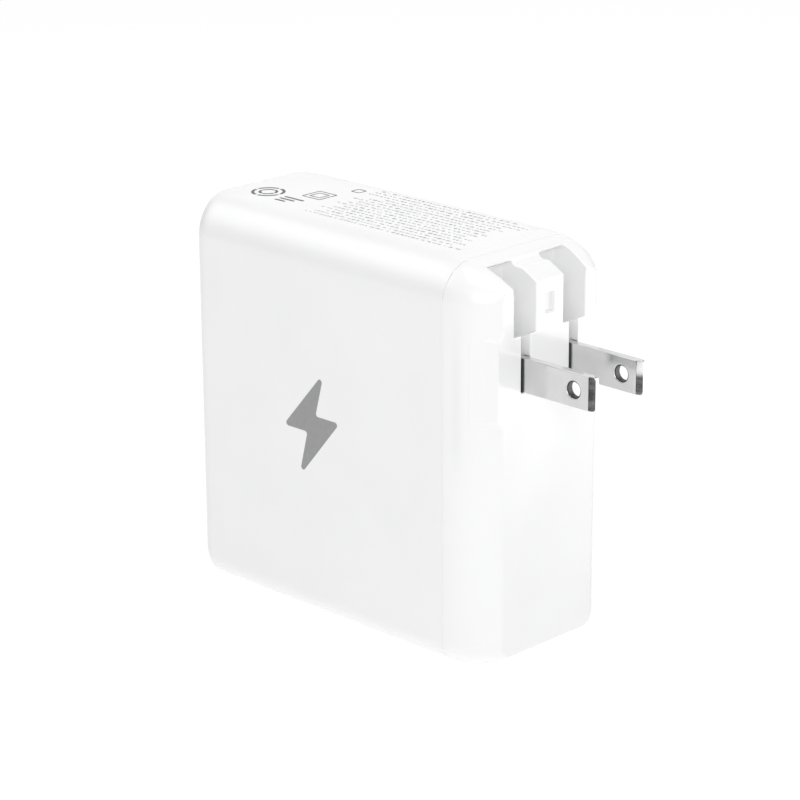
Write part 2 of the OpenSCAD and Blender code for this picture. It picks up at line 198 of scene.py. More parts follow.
def recess_distance(x, y, height):
    """Recess between the cheeks: a shelf over the tongue, and a deeper finger well on each side of it."""
    tongue_half_w, shelf_height, shelf_depth, shelf_r = 3.65, 18.35, 6.2, 1.3
    tongue_r, edge_r, cheek_r, floor_r = 1.45, 0.3, 0.5, 0.2
    cheek_y, cheek_flare, flare_from, flare_to = 9.4, 1.1, 14.0, 22.0
    ceiling_height, ceiling_slope = 18.2, 0.5
    floor_height, floor_slope = 7.4, 0.45
    tongue = round_max(x - FACE_X, height - shelf_height, tongue_r)
    tongue = round_max(tongue, np.abs(y) - tongue_half_w, edge_r)
    over_shelf = round_max(FACE_X - shelf_depth - x, -tongue, shelf_r)
    ceiling = height - ceiling_height - ceiling_slope * (x - FACE_X + SLOT_DEPTH)
    wells = round_max(FACE_X - SLOT_DEPTH - x, ceiling / math.hypot(1, ceiling_slope), edge_r)
    wells = round_max(wells, tongue_half_w - np.abs(y), edge_r)
    cheeks = np.abs(y) - cheek_y - cheek_flare * ease(height, flare_from, flare_to)
    cut = round_max(np.minimum(over_shelf, wells), cheeks, cheek_r)
    floor = (floor_height - floor_slope * (FACE_X - x) - height) / math.hypot(1, floor_slope)
    return round_max(cut, floor, floor_r)


def slots_distance(x, y, height):
    """The two slots that the prongs fold through, which open into the wells above."""
    half_w, room_below, top, corner_r = 1.15, 0.15, 10.0, 0.3
    sides = np.abs(np.abs(y) - PRONG_Y) - half_w
    cut = round_max(sides, between(height, -PRONG_W / 2 - room_below, top), corner_r)
    return np.maximum(cut, FACE_X - SLOT_DEPTH - x)


def latch_distance(x, y, height):
    """Small pocket in the tongue's face."""
    half_w, low, high, depth, corner_r = 1.15, 10.05, 13.8, 0.9, 0.25
    pocket = round_max(np.abs(y) - half_w, between(height, low, high), corner_r)
    return np.maximum(pocket, FACE_X - depth - x)


def posts_distance(x, y, height):
    """Four screw posts behind the plug face, with their pilot holes."""
    post_y, post_heights, post_r, post_end = 12.6, (-7.7, 5.3), 1.7, 10.4
    pilot_r, pilot_start = 0.8, 4.4
    radial = np.minimum(*[np.hypot(np.abs(y) - post_y, height - z) for z in post_heights])
    posts = np.maximum(radial - post_r, FACE_X - post_end - x)
    holes = np.maximum(radial - pilot_r, x - FACE_X + pilot_start)
    return np.maximum(posts, -holes)


def cap_distance(x, y, z):
    """The moulded end cap: a hollow form with a recess, slots and a pocket, and a lip in the housing."""
    pad_fillet, face_r, seam_r, cavity_r = 0.15, 0.16, 0.05, 0.3
    recess_r, slot_r, pocket_r = 0.22, 0.1, 0.12
    block_half_w = 11.2
    bay_half_w, bay_base, bay_wall = 11.5, -7.1, 0.8
    lip_gap, lip_inner, lip_overlap = 0.1, 1.1, 1
    height = z - PRONG_Z
    form = form_distance(x, y, z)
    outside = round_min(form, pads_distance(x, y, height), pad_fillet)
    body = round_max(outside, x - FACE_X, face_r)
    hollow = np.maximum(form + WALL, x - FACE_X + WALL)
    block = np.maximum(np.abs(y) - block_half_w, BAY_CEILING - height)
    cavity = round_max(hollow, -np.minimum(block, posts_distance(x, y, height)), cavity_r)
    bay = np.maximum(np.abs(y) - bay_half_w, between(height, bay_base, BAY_CEILING))
    bay = np.maximum(bay, x - FACE_X + bay_wall)
    body = round_max(body, -recess_distance(x, y, height), recess_r)
    body = round_max(body, -slots_distance(x, y, height), slot_r)
    body = round_max(body, -latch_distance(x, y, height), pocket_r)
    body = np.maximum(body, -np.minimum(cavity, bay))
    body = round_max(body, SEAM_X - x, seam_r)
    lip = between(-form - WALL, lip_gap, lip_inner)
    lip = np.maximum(lip, between(x, SEAM_X - LIP_REACH, SEAM_X + lip_overlap))
    return np.minimum(body, lip)


def prong_distance(x, y, z, side):
    """One prong: blade with a bevelled, rounded tip and a hole, and its tail inside the carrier."""
    corner_r, edge_r, bevel_r, hole_edge_r = 0.7, 0.14, 0.05, 0.2
    bevel_l, tip_half = 1.45, 0.35
    root, tail_l, tail_rise = 1.2, 4.6, 0.5
    height = z - PRONG_Z
    across = np.abs(y - side * PRONG_Y)
    blade = round_max(x - PRONG_TIP, np.abs(height) - PRONG_W / 2, corner_r)
    blade = np.maximum(blade, PIVOT_X - root - x)
    tail_low = PIVOT_Z + tail_rise - PRONG_Z
    tail = np.maximum(between(x, PIVOT_X - tail_l, PIVOT_X), between(height, tail_low, PRONG_W / 2))
    plate = round_max(np.minimum(blade, tail), across - PRONG_T / 2, edge_r)
    slope = (PRONG_T / 2 - tip_half) / bevel_l
    bevel = (across - PRONG_T / 2 + slope * (x - PRONG_TIP + bevel_l)) / math.hypot(1, slope)
    hole = HOLE_R - np.hypot(x - HOLE_X, height)
    return round_max(round_max(plate, bevel, bevel_r), hole, hole_edge_r)


def carrier_distance(x, y, z):
    """The rocking carrier: a barrel with a square back and its journals, slit where the prongs go in."""
    half_w, barrel_r, journal_r, back = 8.5, 1.9, 1.2, 2.6
    edge_r, journal_edge_r, slit_edge_r = 0.25, 0.15, 0.03
    from_axis = np.hypot(x - PIVOT_X, z - PIVOT_Z)
    block = round_max(between(x, PIVOT_X - back, PIVOT_X + barrel_r),
                      between(z, PIVOT_Z, CARRIER_HIGH.z), edge_r)
    barrel = round_max(np.minimum(from_axis - barrel_r, block), np.abs(y) - half_w, edge_r)
    journals = round_max(from_axis - journal_r, np.abs(y) - CARRIER_HIGH.y, journal_edge_r)
    slits = np.maximum(np.abs(np.abs(y) - PRONG_Y) - PRONG_T / 2, np.abs(z - PRONG_Z) - PRONG_W / 2)
    return round_max(np.minimum(barrel, journals), -slits, slit_edge_r)


def shade_and_reflection_distance(x, y, z, side):
    """Thin black strips beside a prong, which fill its slot at the plug face as painted shade and dark
    reflection, and a black ring in its hole as a painted dark reflection.
    """
    sunk, strip_t, strip_start, strip_proud, edge_r = 0.02, 0.22, 1.7, 0.05, 0.05
    bore_reflection_t, bore_reflection_sunk, bore_reflection_inset = 0.16, 0.06, 0.2
    across = np.abs(y - side * PRONG_Y)
    # painted shade: black strips beside the prong stand for the shadowed gap in its slot and the dark
    # reflection in it
    strips = between(across, PRONG_T / 2 - sunk, PRONG_T / 2 + strip_t)
    strips = np.maximum(strips, np.abs(z - PRONG_Z) - PRONG_W / 2)
    strips = round_max(strips, between(x, PIVOT_X + strip_start, FACE_X + strip_proud), edge_r)
    # painted reflection: a black ring in the hole stands for the dark reflection of its bore
    from_hole = np.hypot(x - HOLE_X, z - PRONG_Z)
    bore_reflection = between(from_hole, HOLE_R - bore_reflection_t, HOLE_R + bore_reflection_sunk)
    bore_reflection = np.maximum(bore_reflection, across - PRONG_T / 2 + bore_reflection_inset)
    return np.minimum(strips, bore_reflection)


# ---------------------------------------------------------------- meshes
def put(name, mesh, body, material, replaces=()):
    """Makes a piece of a mesh, which rides on a body and stands for CAD nodes."""
    piece = bpy.data.objects.new(name, mesh)
    bpy.context.scene.collection.objects.link(piece)
    mesh.materials.clear()
    mesh.materials.append(material)
    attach(piece, body)
    if replaces:
        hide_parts(*replaces)


def decimated(mesh, faces):
    """The mesh with about that many triangles."""
    share = faces / len(mesh.polygons)
    if share >= 1:
        return mesh
    helper = bpy.data.objects.new("helper", mesh)
    bpy.context.scene.collection.objects.link(helper)
    thin = helper.modifiers.new("thin", "DECIMATE")
    thin.ratio = share
    graph = bpy.context.evaluated_depsgraph_get()
    made = bpy.data.meshes.new_from_object(helper.evaluated_get(graph))
    bpy.data.objects.remove(helper)
    return made


def vertices_of(mesh):
    """A mesh's vertices as rows."""
    points = np.zeros(len(mesh.vertices) * 3, np.float32)
    mesh.vertices.foreach_get("co", points)
    return points.reshape(-1, 3).astype(float)


def field_gradient(distance, points):
    """Slope of a distance field at some points, along each axis."""
    step = 0.03
    slopes = []
    for axis in np.eye(3) * step:
        ahead = distance(*(points + axis).T)
        behind = distance(*(points - axis).T)
        slopes.append((ahead - behind) / (2 * step))
    return np.stack(slopes, 1)


def field_mesh(name, distance, low, high, step, faces):
    """A smooth mesh of the surface where a distance field is zero, between two corners.

    Thinning moves the vertices a little, so that each then goes back along the field's slope to where
    the field is zero, and takes that slope as its normal.
    """
    passes, least_slope, least_size = 3, 0.5, 1e-6
    margin = 2 * step
    axes = [np.arange(a - margin, b + margin + step, step) for a, b in zip(low, high)]
    values = distance(axes[0][:, None, None], axes[1][None, :, None], axes[2][None, None, :])
    grid = openvdb.FloatGrid(float(margin))
    grid.copyFromArray(np.ascontiguousarray(np.clip(values, -margin, margin), dtype=np.float32))
    points, triangles, quads = grid.convertToPolygons(isovalue=0.0, adaptivity=0.0)
    corners = np.array([axis[0] for axis in axes])
    mesh = bpy.data.meshes.new(name)
    mesh.from_pydata((points * step + corners).tolist(), [], quads.tolist() + triangles.tolist())
    mesh = decimated(mesh, faces)
    placed = vertices_of(mesh)
    for _ in range(passes):
        slope = field_gradient(distance, placed)
        steepness = np.maximum((slope**2).sum(1), least_slope**2)
        move = -distance(*placed.T) / steepness
        placed += slope * np.clip(move, -step, step)[:, None]
    normals = field_gradient(distance, placed)
    normals /= np.maximum(np.linalg.norm(normals, axis=1), least_size)[:, None]
    mesh.vertices.foreach_set("co", (placed * MM).astype(np.float32).ravel())
    mesh.update()
    mesh.shade_smooth()
    mesh.normals_split_custom_set_from_vertices(normals.tolist())
    mesh.name = name
    return mesh


def ring_points(half, base, top, base_r, top_r):
    """Points round a rectangle with round corners, seen along X, as rows of y and z."""
    arc, side = 20, 6  # steps along each corner and each side
    corners = [(half, top, top_r, 0), (-half, top, top_r, 90), (-half, base, base_r, 180),
               (half, base, base_r, 270)]
    points = []
    for y, z, radius, start in corners:
        centre_y = y - math.copysign(radius, y)
        centre_z = z - radius if z == top else z + radius
        for i in range(arc + 1):
            angle = math.radians(start + 90 * i / arc)
            points.append((centre_y + radius * math.cos(angle), centre_z + radius * math.sin(angle)))
    ring = []
    for i, point in enumerate(points):
        ring.append(point)
        if i % (arc + 1) == arc:
            end = points[(i + 1) % len(points)]
            for k in range(1, side):
                t = k / side
                ring.append((point[0] + (end[0] - point[0]) * t, point[1] + (end[1] - point[1]) * t))
    return ring


def inset_section(section, inset):
    """A section drawn in all round."""
    least_r = 0.3
    half, base, top, base_r, top_r = (float(value) for value in section)
    radii = [max(radius - inset, least_r) for radius in (base_r, top_r)]
    return half - inset, base + inset, top - inset, *radii


def loft(name, rings, sharp_angle):
    """Closed mesh through rings, each given as x and its points; the last ring joins the first."""
    count = len(rings[0][1])
    points = [(x * MM, y * MM, z * MM) for x, ring in rings for y, z in ring]
    faces = []
    for i in range(len(rings)):
        a, b = i * count, (i + 1) % len(rings) * count
        for k in range(count):
            after = (k + 1) % count
            faces.append((a + k, a + after, b + after, b + k))
    mesh = bpy.data.meshes.new(name)
    mesh.from_pydata(points, [], faces)
    mesh.shade_smooth()
    mesh.set_sharp_from_angle(angle=sharp_angle)
    return mesh


def housing_mesh():
    """The housing: a shell open at the seam, with a rounded back and the output port's opening.

    The rings go over the seam's edge, back along the outside, in through the port's opening and
    forward again along the inside.
    """
    rim, rim_steps = 0.02, 3
    back_steps, back_flat = 24, 0.004
    back_r = max(BACK_SIDE_R, BACK_TOP_R, BACK_BASE_R)
    arc_start = FACE_X - TOP_ARC[0]
    inner_back = BACK_X + WALL
    rings = []
    for i in range(rim_steps + 1):
        angle = math.radians(90 * i / rim_steps)
        section = inset_section(body_section(SEAM_X - rim), rim * (1 - math.sin(angle)))
        rings.append((SEAM_X - rim + rim * math.cos(angle), ring_points(*section)))
    stations = [arc_start + d for d in (2.2, 1.5, 0.8, 0, -8, -20, -32, -44)]
    for i in range(back_steps):
        angle = math.radians(90 * i / back_steps)
        stations.append(BACK_X + back_r * (1 - math.sin(angle)))
    stations += [BACK_X + back_flat, BACK_X]
    rings += [(x, ring_points(*body_section(x))) for x in stations]
    rings += port_rings()
    straight = body_section(BACK_X + back_r)
    for depth, inset in ((0, 1.5), (0.4, 0.4), (1.5, 0)):
        rings.append((inner_back + depth, ring_points(*inset_section(straight, WALL + inset))))
    for x in (SEAM_X - 3, SEAM_X):
        rings.append((x, ring_points(*inset_section(body_section(x), WALL))))
    return loft("housing_shell", rings, math.radians(7))


def port_rings():
    """Rings of the output port's opening, from the outer to the inner face of the back wall."""
    lip, outward, inward = 0.35, 6, 4
    radius = (PORT_HIGH.y - PORT_LOW.y) / 2 + PORT_GAP
    low, high = PORT_LOW.z - PORT_GAP, PORT_HIGH.z + PORT_GAP
    outer = [(0, outward), (0, lip), (0.03, 0.6 * lip), (0.12, 0.25 * lip), (lip, 0)]
    rings = []
    for depth, grow in outer + [(WALL, 0), (WALL, inward)]:
        section = (radius + grow, low - grow, high + grow, radius + grow, radius + grow)
        rings.append((BACK_X + depth, ring_points(*section)))
    return rings


# ---------------------------------------------------------------- materials
class Surface:
    """A node material on a Principled shader, built one step at a time."""

    def __init__(self, name, colour, roughness, metallic=0.0):
        self.material = bpy.data.materials.new(name)
        self.material.use_nodes = True
        self.nodes = self.material.node_tree.nodes
        self.shader = self.nodes["Principled BSDF"]
        self.shader.inputs["Base Color"].default_value = (*colour, 1)
        self.shader.inputs["Roughness"].default_value = roughness
        self.shader.inputs["Metallic"].default_value = metallic
        self.place = self.nodes.new("ShaderNodeTexCoord").outputs["Object"]

    def link(self, output, target):
        """Joins two sockets."""
        self.material.node_tree.links.new(output, target)

    def stretched(self, scale):
        """Object coordinates in millimetres, scaled along each axis."""
        mapping = self.nodes.new("ShaderNodeMapping")
        mapping.inputs["Scale"].default_value = [s / MM for s in scale]
        self.link(self.place, mapping.inputs["Vector"])
        return mapping.outputs["Vector"]

    def noise(self, size, detail=3.0, stretch=(1, 1, 1)):
        """Cloudy noise, size millimetres wide, drawn out along the axes whose stretch is below 1."""
        noise = self.nodes.new("ShaderNodeTexNoise")
        noise.inputs["Scale"].default_value = 1.0 / size
        noise.inputs["Detail"].default_value = detail
        self.link(self.stretched(stretch), noise.inputs["Vector"])
        return noise.outputs["Fac"]

    def ramp(self, value, low, high, start=0.3, end=0.7):
        """Colour from low to high as the value goes from start to end."""
        ramp = self.nodes.new("ShaderNodeValToRGB")
        ramp.color_ramp.elements[0].position = start
        ramp.color_ramp.elements[0].color = (*low, 1)
        ramp.color_ramp.elements[1].position = end
        ramp.color_ramp.elements[1].color = (*high, 1)
        self.link(value, ramp.inputs["Fac"])
        return ramp.outputs["Color"]

    def coloured(self, value, low, high, start=0.3, end=0.7):
        """Base colour from low to high as the value goes from start to end."""
        self.link(self.ramp(value, low, high, start, end), self.shader.inputs["Base Color"])

    def roughened(self, value, low, high):
        """Roughness from low to high as the value goes from 0.3 to 0.7."""
        spread = self.nodes.new("ShaderNodeMapRange")
        spread.inputs["From Min"].default_value = 0.3
        spread.inputs["From Max"].default_value = 0.7
        spread.inputs["To Min"].default_value = low
        spread.inputs["To Max"].default_value = high
        self.link(value, spread.inputs["Value"])
        self.link(spread.outputs["Result"], self.shader.inputs["Roughness"])

    def bumped(self, value, height, strength):
        """Bump of a height in millimetres."""
        bump = self.nodes.new("ShaderNodeBump")
        bump.inputs["Strength"].default_value = strength
        bump.inputs["Distance"].default_value = height * MM
        self.link(value, bump.inputs["Height"])
        self.link(bump.outputs["Normal"], self.shader.inputs["Normal"])

    def bands(self, width, axis):
        """Even round-topped bands across an axis, each width millimetres wide."""
        wave = self.nodes.new("ShaderNodeTexWave")
        wave.bands_direction = axis
        wave.wave_profile = "SIN"
        wave.inputs["Scale"].default_value = math.pi / (10 * width)
        wave.inputs["Distortion"].default_value = 0.15
        self.link(self.stretched((1, 1, 1)), wave.inputs["Vector"])
        return wave.outputs["Fac"]

    def cells(self, size):
        """Distance to the nearest of scattered points about size millimetres apart."""
        cells = self.nodes.new("ShaderNodeTexVoronoi")
        cells.inputs["Scale"].default_value = 1.0 / size
        self.link(self.stretched((1, 1, 1)), cells.inputs["Vector"])
        return cells.outputs["Distance"]


def shade(colour, factor):
    """A colour made darker or lighter."""
    return tuple(min(1.0, channel * factor) for channel in colour)


def moulded(name, colour, gloss, grain=0.4, depth=0.004):
    """Moulded plastic: faint mottling, uneven gloss and the soft waviness of a polished mould."""
    made = Surface(name, colour, gloss)
    made.coloured(made.noise(18), shade(colour, 0.985), shade(colour, 1.01))
    made.roughened(made.noise(6, 4), gloss * 0.85, gloss * 1.25)
    made.bumped(made.noise(grain, 2), depth, 0.3)
    return made.material


def nickel():
    """Polished nickel plate with very fine brushing along the blade and faint smears."""
    made = Surface("nickel_plate", (0.66, 0.66, 0.66), 0.16, metallic=1.0)
    made.coloured(made.noise(4, 4), (0.63, 0.63, 0.635), (0.69, 0.69, 0.69))
    made.roughened(made.noise(1.5, 4, (0.1, 1, 1)), 0.12, 0.2)
    made.bumped(made.noise(0.15, 2, (0.04, 1, 1)), 0.001, 0.25)
    return made.material


def printed(name, colour):
    """Pad-printed ink: slightly matt and a little uneven."""
    made = Surface(name, colour, 0.42)
    made.coloured(made.noise(0.8, 4), shade(colour, 0.96), shade(colour, 1.04))
    made.roughened(made.noise(0.3, 3), 0.36, 0.5)
    made.bumped(made.noise(0.12, 2), 0.002, 0.3)
    return made.material


def raw_metal(name, colour, roughness, along=(1, 1, 1)):
    """Bare metal with stamping marks drawn out along one axis."""
    made = Surface(name, colour, roughness, metallic=1.0)
    made.coloured(made.noise(2.5, 4), shade(colour, 0.88), shade(colour, 1.06))
    made.roughened(made.noise(0.8, 4, along), roughness * 0.8, roughness * 1.3)
    made.bumped(made.noise(0.15, 2, along), 0.003, 0.5)
    return made.material


def wound(name, colour, wire, axis):
    """Enamelled wire wound in even turns, with painted shade darkening the grooves between turns and a
    faint painted highlight on their crowns.
    """
    made = Surface(name, colour, 0.28, metallic=0.6)
    turns = made.bands(wire, axis)
    # painted shade: the colour darkens into the grooves between turns and lightens on their crowns
    made.coloured(turns, shade(colour, 0.45), shade(colour, 1.1), 0.05, 0.6)
    made.roughened(made.noise(1.5, 3), 0.22, 0.4)
    made.bumped(turns, 0.12, 0.9)
    return made.material


def circuit_board():
    """Solder mask with the faint relief of copper traces under it, and dull speckle."""
    made = Surface("solder_mask", (0.02, 0.16, 0.07), 0.35)
    traces = made.cells(2.6)
    made.coloured(traces, (0.012, 0.11, 0.045), (0.03, 0.21, 0.09), 0.35, 0.42)
    made.roughened(made.noise(0.5, 4), 0.28, 0.5)
    made.bumped(traces, 0.03, 0.4)
    return made.material


def ceramic(name, colour, roughness=0.6, grain=0.25):
    """Pressed or sintered body: speckled, matt and finely pitted."""
    made = Surface(name, colour, roughness)
    made.coloured(made.noise(grain, 4), shade(colour, 0.75), shade(colour, 1.2))
    made.roughened(made.noise(1.0, 3), roughness * 0.85, min(1.0, roughness * 1.2))
    made.bumped(made.noise(grain, 4), 0.03, 0.5)
    return made.material


def sleeve(name, colour):
    """Shrunk plastic sleeve: glossy, slightly rippled."""
    made = Surface(name, colour, 0.3)
    made.coloured(made.noise(5, 3), shade(colour, 0.8), shade(colour, 1.15))
    made.roughened(made.noise(2, 3), 0.22, 0.42)
    made.bumped(made.noise(2.2, 2), 0.05, 0.4)
    return made.material


def sheet_plastic(name, colour, roughness):
    """Thin sheet or pad: cloudy, with rolling marks."""
    made = Surface(name, colour, roughness)
    made.coloured(made.noise(9, 4), shade(colour, 0.92), shade(colour, 1.06))
    made.roughened(made.noise(3, 4), roughness * 0.8, min(1.0, roughness * 1.2))
    made.bumped(made.noise(0.6, 3, (1, 1, 0.2)), 0.01, 0.4)
    return made.material


WHITE = (0.95, 0.951, 0.953)
CARRIER_GREY = (0.35, 0.35, 0.36)
MARK_GREY = (0.32, 0.32, 0.325)
RATING_GREY = (0.40, 0.40, 0.41)
ICON_BLACK = (0.07, 0.07, 0.075)
MATERIALS = {
    "white_shell": moulded("white_shell", WHITE, 0.16),
    "black_plastic": moulded("black_plastic", (0.018, 0.018, 0.02), 0.4, 0.3, 0.01),
    "steel": raw_metal("spring_steel", (0.58, 0.57, 0.55), 0.3, (1, 1, 0.15)),
    "plated_prong": nickel(),
    "contact_brass": raw_metal("contact_brass", (0.72, 0.52, 0.24), 0.28, (0.15, 1, 1)),
    "wire_brown": sleeve("wire_brown", (0.16, 0.06, 0.025)),
    "wire_blue": sleeve("wire_blue", (0.03, 0.10, 0.42)),
    "board_green": circuit_board(),
    "ferrite": ceramic("ferrite", (0.045, 0.045, 0.05), 0.62),
    "winding": wound("transformer_wire", (0.62, 0.36, 0.12), 0.35, "Y"),
    "capacitor_sleeve": sleeve("capacitor_sleeve", (0.02, 0.025, 0.05)),
    "film_yellow": ceramic("film_box", (0.75, 0.42, 0.05), 0.4, 0.6),
    "disc_blue": ceramic("disc_coating", (0.03, 0.14, 0.50), 0.35, 0.5),
    "choke_green": ceramic("choke_coating", (0.03, 0.22, 0.08), 0.4, 0.6),
    "fuse_body": ceramic("fuse_ceramic", (0.62, 0.54, 0.42), 0.45, 0.4),
    "varistor_red": ceramic("varistor_coating", (0.45, 0.05, 0.03), 0.38, 0.5),
    "capacitor_can": raw_metal("capacitor_can", (0.72, 0.73, 0.75), 0.3, (1, 0.15, 1)),
    "heat_plate": raw_metal("heat_plate", (0.75, 0.76, 0.77), 0.38, (0.1, 1, 1)),
    "pad_grey": sheet_plastic("gap_pad", (0.32, 0.34, 0.37), 0.75),
    "insulator": sheet_plastic("insulating_film", (0.62, 0.58, 0.42), 0.35),
}

# ---------------------------------------------------------------- prints
PRINT_PROUD = 0.8 * SKIN
PRINT_SUNK = 0.03


def print_mesh(name, outlines, place):
    """Thin closed plates of the given outlines, whose outer face is just proud of the moulded skin.

    place turns (across, up, out) into a point of the body, all in millimetres.
    """
    points, faces = [], []
    for outline in outlines:
        first, count = len(points), len(outline)
        for out in (PRINT_PROUD, -PRINT_SUNK):
            points += [place(a, b, out) for a, b in outline]
        faces.append(tuple(range(first, first + count)))
        faces.append(tuple(range(first + 2 * count - 1, first + count - 1, -1)))
        for k in range(count):
            after = (k + 1) % count
            faces.append((first + k, first + count + k, first + count + after, first + after))
    mesh = bpy.data.meshes.new(name)
    mesh.from_pydata([Vector(p) * MM for p in points], [], faces)
    return mesh


def rounded_outline(corners, radius, steps=8):
    """A polygon with each corner rounded."""
    outline = []
    count = len(corners)
    for i, corner in enumerate(corners):
        here = Vector(corner)
        before = (Vector(corners[i - 1]) - here).normalized()
        after = (Vector(corners[(i + 1) % count]) - here).normalized()
        half_angle = before.angle(after) / 2
        reach = radius / math.tan(half_angle)
        start, end = here + before * reach, here + after * reach
        middle = here + (before + after).normalized() * (radius / math.sin(half_angle))
        first, last = start - middle, end - middle
        turn = first.angle_signed(last)
        for k in range(steps + 1):
            angle = -turn * k / steps
            cosine, sine = math.cos(angle), math.sin(angle)
            outline.append((middle.x + first.x * cosine - first.y * sine,
                            middle.y + first.x * sine + first.y * cosine))
    return outline


def on_front(across, up, out):
    """A place on the big face towards -Y."""
    return across, -(HALF_W - SKIN) - out, up


def on_top(across, up, out):
    """A place on the top face."""
    return across, up, BODY_H - SKIN + out


def box_outline(x0, x1, y0, y1, radius):
    """A rectangle with round corners."""
    return rounded_outline([(x0, y0), (x1, y0), (x1, y1), (x0, y1)], radius, 4)


def bar(x0, x1, y, height):
    """A short bar with round ends."""
    return box_outline(x0, x1, y - height / 2, y + height / 2, 0.45 * height)


def ring_outlines(x, y, radius, width):
    """A ring, as open arcs with small gaps."""
    arcs, gap, steps = 4, 0.06, 12
    outlines = []
    for arc in range(arcs):
        start = 2 * math.pi * (arc + gap) / arcs
        angles = [start + 2 * math.pi * (1 - 2 * gap) / arcs * i / steps for i in range(steps + 1)]
        outer = [(x + radius * math.cos(a), y + radius * math.sin(a)) for a in angles]
        inner = [(x + (radius - width) * math.cos(a), y + (radius - width) * math.sin(a))
                 for a in reversed(angles)]
        outlines.append(outer + inner)
    return outlines


def square_outlines(x, y, side, width):
    """A square frame, as four bars."""
    half = side / 2
    level = [bar(x - half, x + half, y + end, width) for end in (-half, half)]
    upright = [box_outline(x + end - width / 2, x + end + width / 2, y - half, y + half, 0.4 * width)
               for end in (-half, half)]
    return level + upright


def front_mark():
    """Generic charging mark: a lightning bolt with rounded corners."""
    middle_x, middle_z, height, corner_r = -5.0, 38.3, 22.0, 0.55
    bolt = [(0.16, 0.5), (-0.34, -0.07), (-0.05, -0.07), (-0.16, -0.5), (0.34, 0.09), (0.05, 0.09)]
    corners = [(middle_x + height * a, middle_z + height * b) for a, b in bolt]
    return print_mesh("front_mark", [rounded_outline(corners, corner_r)], on_front)


def top_print():
    """Generic rating print: rows of plain dashes, with no lettering."""
    rows, first_y, pitch = 15, -9.4, 1.4
    left, indent, right, ragged = -15.0, 3, 25.0, 6
    lengths, heights, gaps = (0.4, 0.55, 0.8, 1.1), (0.26, 0.36, 0.5), (0.25, 0.35, 0.8)
    draw = random.Random(7)
    outlines = []
    for row in range(rows):
        y = first_y + pitch * row
        x = left + draw.uniform(0, indent) * (row % 3)
        end = right - draw.uniform(0, ragged)
        while x < end:
            length = draw.choice(lengths)
            outlines.append(bar(x, x + length, y, draw.choice(heights)))
            x += length + draw.choice(gaps)
    return print_mesh("top_print", outlines, on_top)


def top_icons():
    """Generic icons beside the rating print: two rings, three bars, a double square and a small square."""
    line, bars = 0.3, 3
    outlines = []
    for radius, width in ((3.3, 0.6), (1.9, 0.55)):
        outlines += ring_outlines(-30.1, -4.7, radius, width)
    for side in (4.6, 2.6):
        outlines += square_outlines(-20.9, 0, side, line)
    for i in range(bars):
        outlines.append(bar(-25.2, -20.0 - 1.2 * i, -5.0 - 1.3 * i, 2 * line))
    outlines += square_outlines(-17.8, 7.4, 2.0, line)
    return print_mesh("top_icons", outlines, on_top)


# ---------------------------------------------------------------- pieces
def make_shells():
    """The white housing and end cap."""
    white = MATERIALS["white_shell"]
    put("housing_shell", housing_mesh(), "body", white, ["housing"])
    cap = field_mesh("end_cap_shell", cap_distance, (SEAM_X - LIP_REACH, -HALF_W, 0),
                     (FACE_X, HALF_W, BODY_H), *CAP_MESH)
    put("end_cap_shell", cap, "body", white, ["end_cap"])


def make_prong(name, side):
    """One plated prong, and a thin black piece that moves with it: painted shade in its slot and a painted
    dark reflection in its hole.
    """
    low, high = box_mm(name)
    blade = field_mesh(name + "_blade", lambda x, y, z: prong_distance(x, y, z, side),
                       low, high, *BLADE_MESH)
    put(name + "_blade", blade, "prongs", MATERIALS["plated_prong"], [name])
    start, room, room_y = 1.5, 0.4, 0.3
    shade_and_reflection_low = (PIVOT_X + start, low.y - room_y, PRONG_Z - PRONG_W / 2 - room)
    shade_and_reflection_high = (HOLE_X + HOLE_R + room, high.y + room_y, PRONG_Z + PRONG_W / 2 + room)
    # black piece of painted shade in the slot and painted dark reflection in the hole
    shade_and_reflection = field_mesh(name + "_collar", lambda x, y, z: shade_and_reflection_distance(x, y, z, side),
                        shade_and_reflection_low, shade_and_reflection_high, *SHADE_AND_REFLECTION_MESH)
    put(name + "_collar", shade_and_reflection, "prongs", MATERIALS["black_plastic"])


def make_carrier():
    """The carrier that holds both prongs."""
    carrier = field_mesh("carrier_rocker", carrier_distance, CARRIER_LOW, CARRIER_HIGH, *CARRIER_MESH)
    grey = moulded("carrier_grey", CARRIER_GREY, 0.35)
    put("carrier_rocker", carrier, "prongs", grey, ["prong_carrier"])


def make_prints():
    """The grey mark on the front, and the grey and black prints on the top."""
    put("front_mark", front_mark(), "body", printed("mark_ink", MARK_GREY))
    put("top_print", top_print(), "body", printed("rating_ink", RATING_GREY))
    put("top_icons", top_icons(), "body", printed("icon_ink", ICON_BLACK))


def finish_node(node, material):
    """Gives a CAD node its material, and softens its hard edges a little."""
    widest, share, sharp = 0.12 * MM, 0.1, math.radians(40)
    node.data.materials.clear()
    node.data.materials.append(material)
    soft = node.modifiers.new("soft_edges", "BEVEL")
    soft.width = min(widest, share * min(node.dimensions))
    soft.segments = 2
    soft.limit_method = "ANGLE"
    soft.angle_limit = sharp


def build_pieces():
    """Every visible piece, and a finish for each CAD node."""
    make_shells()
    make_prong("prong_line", -1)
    make_prong("prong_neutral", 1)
    make_carrier()
    make_prints()
    for part in frame["record"]["subparts"]:
        finish_node(frame["nodes"][part["node"]], MATERIALS[part["material_slot"]])


# ---------------------------------------------------------------- stage, light and camera, in metres
CAMERA_PLACE = Vector((0.3693, -0.3726, 0.2156))
CAMERA_AZIMUTH, CAMERA_ELEVATION, CAMERA_ROLL = 44.732, 18.511, -0.356
CAMERA_LENS = 132.06
FLOOR_GLOW, WORLD_GLOW = 0.87, 0.45

